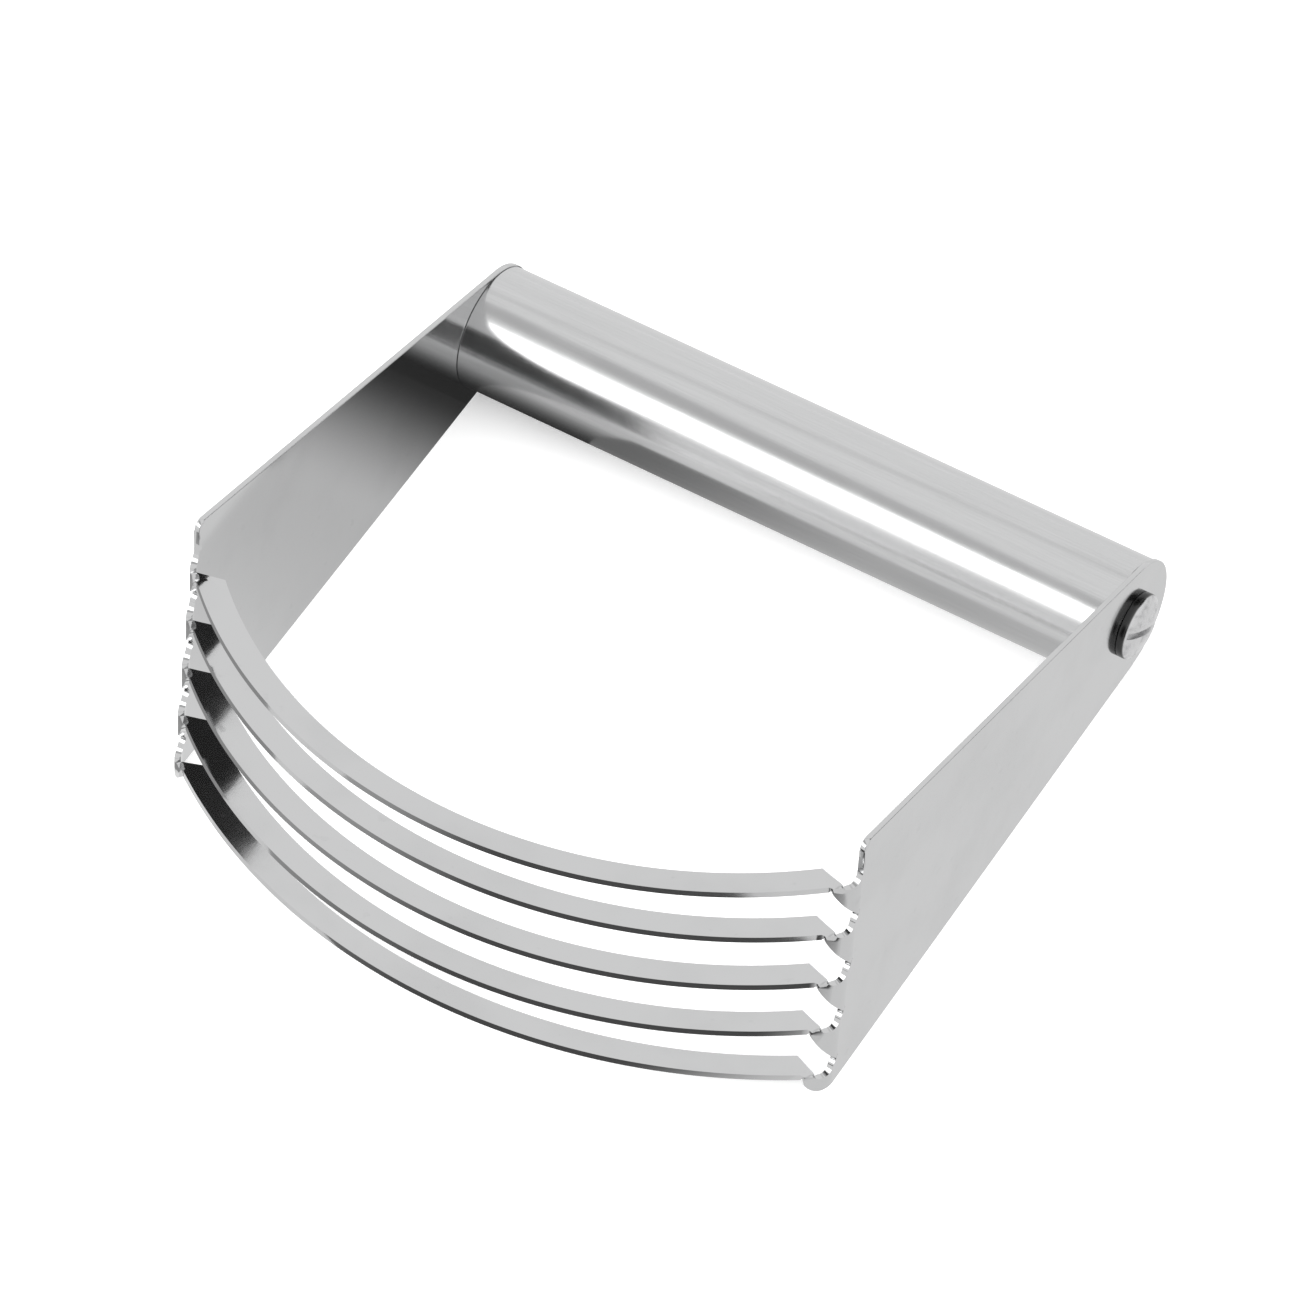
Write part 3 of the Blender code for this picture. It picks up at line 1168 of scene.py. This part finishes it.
@dataclass
class Studio:
    """Pale floor, soft lights, grey cards and the camera."""

    collection: bpy.types.Collection
    sky: float = 1.0
    floor_size: float = 2.2
    floor_drop: float = 0.05 * MM
    near_clip: float = 0.01
    far_clip: float = 20.0
    lens: float = 230.638
    sensor: float = 36.0
    camera_place: tuple[float, float, float] = (0.401301, -0.563646, 0.951684)
    azimuth: float = 35.2339
    elevation: float = 53.4005
    roll: float = -4.0958
    boxes: tuple[Softbox, ...] = (
        Softbox("front_softbox", (-0.303, -0.597, 0.575), (0.0, 0.045, 0.02), 0.80, 0.42, 2.1),
    )
    fill: Softbox = Softbox("overhead_fill", (0.0, 0.0, 1.7), (0.0, 0.0, 0.0), 2.6, 2.6, 20.0)
    flags: tuple[Flag, ...] = (
        Flag("overhead_flag", (-0.30, -0.25, 0.83), (0.0, 0.045, 0.02), 0.90, 0.24, 0.60, 0.60),
        Flag("back_flag", (-0.30, 0.50, 0.73), (0.0, 0.045, 0.02), 0.90, 0.09, 0.80, 0.80),
        Flag("camera_flag", (0.34, -0.75, 0.25), (0.0, 0.0, 0.02), 0.40, 0.66, 0.03, 0.03),
        Flag("side_flag", (0.31, 0.65, 0.54), (0.0, 0.0, 0.02), 0.62, 0.56, 0.02, 0.02),
        Flag("floor_card", (0.0, 0.0, 0.00002), (0.0, 0.0, -1.0), 2.4, 2.4, 0.88, 0.88),
        # The cards from here on lie just above the floor and are painted reflections: their tones,
        # some near black, paint the light and shade of the floor under and round the tool, which
        # the plates, the blades' cut edges and the tube mirror.
        Flag("near_left_card", (-0.0435, -0.016, 0.0001), DOWN, 0.020, 0.060, 1.0, 0.68, True),
        Flag("mid_left_card", (-0.0435, 0.026, 0.0001), DOWN, 0.020, 0.024, 0.68, 0.04, True),
        Flag("far_left_card", (-0.0435, 0.052, 0.0001), DOWN, 0.020, 0.028, 0.03, 0.03),
        Flag("back_card", (-0.00675, 0.040, 0.0001), DOWN, 0.0535, 0.052, 0.18, 0.58),
        Flag("back_right_card", (0.03675, 0.040, 0.0001), DOWN, 0.0335, 0.052, 0.58, 0.70),
        Flag("left_card", (-0.076, -0.036, 0.0001), DOWN, 0.044, 0.064, 0.35, 0.35),
        Flag("front_left_card", (-0.030, -0.13, 0.0001), DOWN, 0.060, 0.14, 0.45, 0.07),
        Flag("front_card", (0.0425, -0.13, 0.0001), DOWN, 0.085, 0.14, 0.07, 0.07),
        Flag("front_fade_card", (0.0525, -0.052, 0.0001), DOWN, 0.065, 0.016, 0.07, 0.80, True),
    )

    def aimed(self, place: Sequence[float], aim: Sequence[float] | None) -> Matrix:
        """Placement that looks from one point to another.

        Args:
            place: Position of the thing.
            aim: Point that its -Z looks at, or None for straight down.

        Returns:
            The placement.
        """
        at = Vector(place)
        if aim is None:
            return Matrix.Translation(at)
        turn = (Vector(aim) - at).to_track_quat("-Z", "Y").to_matrix().to_4x4()
        return Matrix.Translation(at) @ turn

    def build_floor(self) -> bpy.types.Object:
        """Build the pale, flat floor.

        Returns:
            The floor.
        """
        shape = bmesh.new()
        bmesh.ops.create_grid(shape, x_segments=24, y_segments=24, size=self.floor_size)
        mesh = bpy.data.meshes.new("studio_floor")
        shape.to_mesh(mesh)
        shape.free()
        mesh.materials.append(StudioPaper().dress())
        mesh.shade_smooth()
        floor = bpy.data.objects.new("studio_floor", mesh)
        floor.location = (0.0, 0.0, -self.floor_drop)
        self.collection.objects.link(floor)
        return floor

    def build_sky(self) -> None:
        """Light the scene evenly from all round."""
        world = bpy.data.worlds.new("studio")
        bpy.context.scene.world = world
        world.use_nodes = True
        background = world.node_tree.nodes["Background"]
        background.inputs["Color"].default_value = grey(1.0)
        background.inputs["Strength"].default_value = self.sky

    def build_light(self, box: Softbox, mirrored: bool = True) -> None:
        """Hang one softbox.

        Args:
            box: Its size, place and power.
            mirrored: Whether bright metal mirrors it.
        """
        data = bpy.data.lights.new(box.name, "AREA")
        data.shape = "RECTANGLE"
        data.size = box.width
        data.size_y = box.height
        data.energy = box.power
        light = bpy.data.objects.new(box.name, data)
        light.matrix_world = self.aimed(box.place, box.aim)
        light.visible_glossy = mirrored
        self.collection.objects.link(light)

    def build_flag(self, flag: Flag) -> None:
        """Set up one card.

        Args:
            flag: Its size, place and tone.
        """
        shape = bmesh.new()
        bmesh.ops.create_grid(shape, x_segments=1, y_segments=1, size=0.5)
        shape.transform(Matrix.Diagonal((flag.width, flag.height, 1.0, 1.0)))
        mesh = bpy.data.meshes.new(flag.name)
        shape.to_mesh(mesh)
        shape.free()
        graph = Graph(flag.name)
        way = "Y" if flag.upward else "X"
        span = flag.height if flag.upward else flag.width
        along = graph.node("ShaderNodeSeparateXYZ", None, {0: graph.place()}, way)
        fade = graph.step(along, -span / 2, span / 2)
        tone = graph.blend(fade, grey(flag.tone), grey(flag.far_tone))
        finish = graph.finish(
            Base_Color=grey(0.0), Roughness=1.0, Emission_Color=tone, Emission_Strength=1.0
        )
        mesh.materials.append(finish)
        card = bpy.data.objects.new(flag.name, mesh)
        card.matrix_world = self.aimed(flag.place, flag.aim)
        card.visible_camera = False
        card.visible_diffuse = False
        card.visible_shadow = False
        card.visible_transmission = False
        self.collection.objects.link(card)

    def build_camera(self) -> None:
        """Place the camera and make it the scene's."""
        data = bpy.data.cameras.new("camera")
        data.sensor_width = self.sensor
        data.lens = self.lens
        data.clip_start = self.near_clip
        data.clip_end = self.far_clip
        camera = bpy.data.objects.new("camera", data)
        turn = Matrix.Rotation(math.radians(self.azimuth), 4, "Z")
        turn = turn @ Matrix.Rotation(math.radians(90.0 - self.elevation), 4, "X")
        turn = turn @ Matrix.Rotation(math.radians(self.roll), 4, "Z")
        camera.matrix_world = Matrix.Translation(self.camera_place) @ turn
        self.collection.objects.link(camera)
        bpy.context.scene.camera = camera

    def build(self) -> None:
        """Build the whole studio."""
        self.build_floor()
        self.build_sky()
        for box in self.boxes:
            self.build_light(box)
        self.build_light(self.fill, mirrored=False)
        for flag in self.flags:
            self.build_flag(flag)
        self.build_camera()
        bpy.context.scene.view_settings.view_transform = "Standard"


def corners(box: tuple[Vector, Vector]) -> list[list[float]]:
    """Plain numbers of a box.

    Args:
        box: Lowest and highest corner.

    Returns:
        The same corners as lists.
    """
    return [[float(value) for value in corner] for corner in box]


def new_collection(name: str) -> bpy.types.Collection:
    """Add a collection to the scene."""
    made = bpy.data.collections.new(name)
    bpy.context.scene.collection.children.link(made)
    return made


def main() -> None:
    """Load the frame, then build the tool and the studio round it."""
    logging.basicConfig(level=logging.INFO, format="%(message)s")
    for old in list(bpy.data.objects):
        bpy.data.objects.remove(old, do_unlink=True)
    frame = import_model()
    axis = Vector(frame["joints"][0]["pos_m"])
    shop = Workshop(new_collection("pastry_blender"))
    BladeFrame(shop, axis).build()
    Handle(shop, axis).build()
    Studio(new_collection("studio")).build()


if __name__ == "__main__":
    main()
